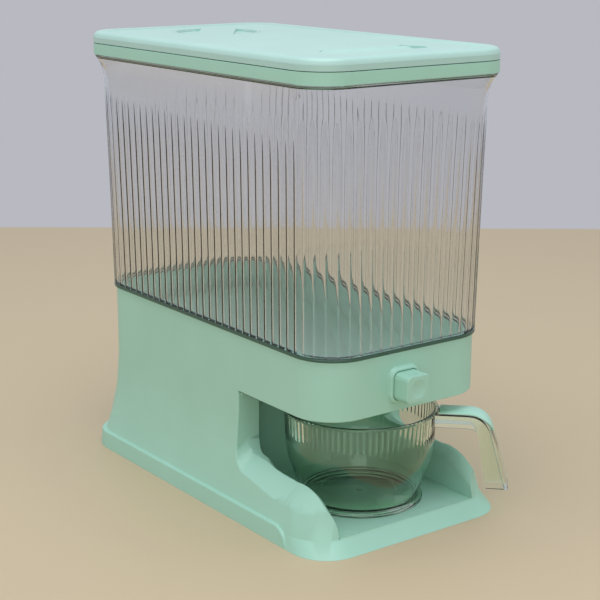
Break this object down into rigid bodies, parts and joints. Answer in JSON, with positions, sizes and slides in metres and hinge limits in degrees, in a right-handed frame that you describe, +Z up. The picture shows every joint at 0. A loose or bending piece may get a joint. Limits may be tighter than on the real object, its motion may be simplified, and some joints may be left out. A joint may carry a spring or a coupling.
{
  "type": "rice storage bin",
  "caption": "Tall rice storage bin with a clear fluted container on a mint base, a push button gate over a bay, a loose measuring cup and a hinged lid.",
  "frame": {"origin": "middle of the foot's underside, at the level of the base's bottom rim", "axes": "+Z up, -Y out of the front with the push button, +X to the right as seen from the front"},
  "size_m": [0.1906, 0.363, 0.365],
  "materials": {
    "mint": "fine satin ABS",
    "clear": "clear polystyrene, slightly grey",
    "silicone": "soft translucent white",
    "rubber": "dark rubber",
    "steel": "zinc plated",
    "acetal": "smooth natural acetal"
  },
  "bodies": {
    "base": {"base_housing": "mint", "bottom_plate": "mint", "bottom_screws": "steel", "rubber_feet": "rubber", "container": "clear", "container_seal": "silicone", "lid_frame": "mint", "lid_seal": "silicone", "lid_hinge_pins": "steel", "hopper": "mint", "hopper_screws": "steel", "gate_channel": "mint", "channel_screws": "steel", "gate_seal": "silicone", "return_springs": "steel", "spring_pins": "steel"},
    "lid": {"lid_cover": "mint"},
    "dial": {"date_dial": "mint", "dial_clip": "acetal"},
    "gate": {"gate_slide": "acetal", "push_button": "mint", "button_screw": "steel"},
    "cup": {"measuring_cup": "clear", "handle_cover": "mint"}
  },
  "joints": [
    {"name": "lid_hinge", "type": "hinge", "parent": "base", "child": "lid", "pos_m": [0, 0.1685, 0.3555], "axis": [-1, 0, 0], "range_deg": [0, 100]},
    {"name": "dial_turn", "type": "hinge", "parent": "lid", "child": "dial", "pos_m": [0, 0.098, 0.3638], "axis": [0, 0, 1], "continuous": true},
    {"name": "button_push", "type": "slide", "parent": "base", "child": "gate", "axis": [0, 1, 0], "range_m": [0, 0.014], "stiffness_N_per_m": 300, "springref_m": -0.004, "deforming": ["return_springs"]},
    {"name": "cup_pull", "type": "slide", "parent": "base", "child": "cup", "axis": [0, -1, 0], "range_m": [0, 0.2]}
  ]
}
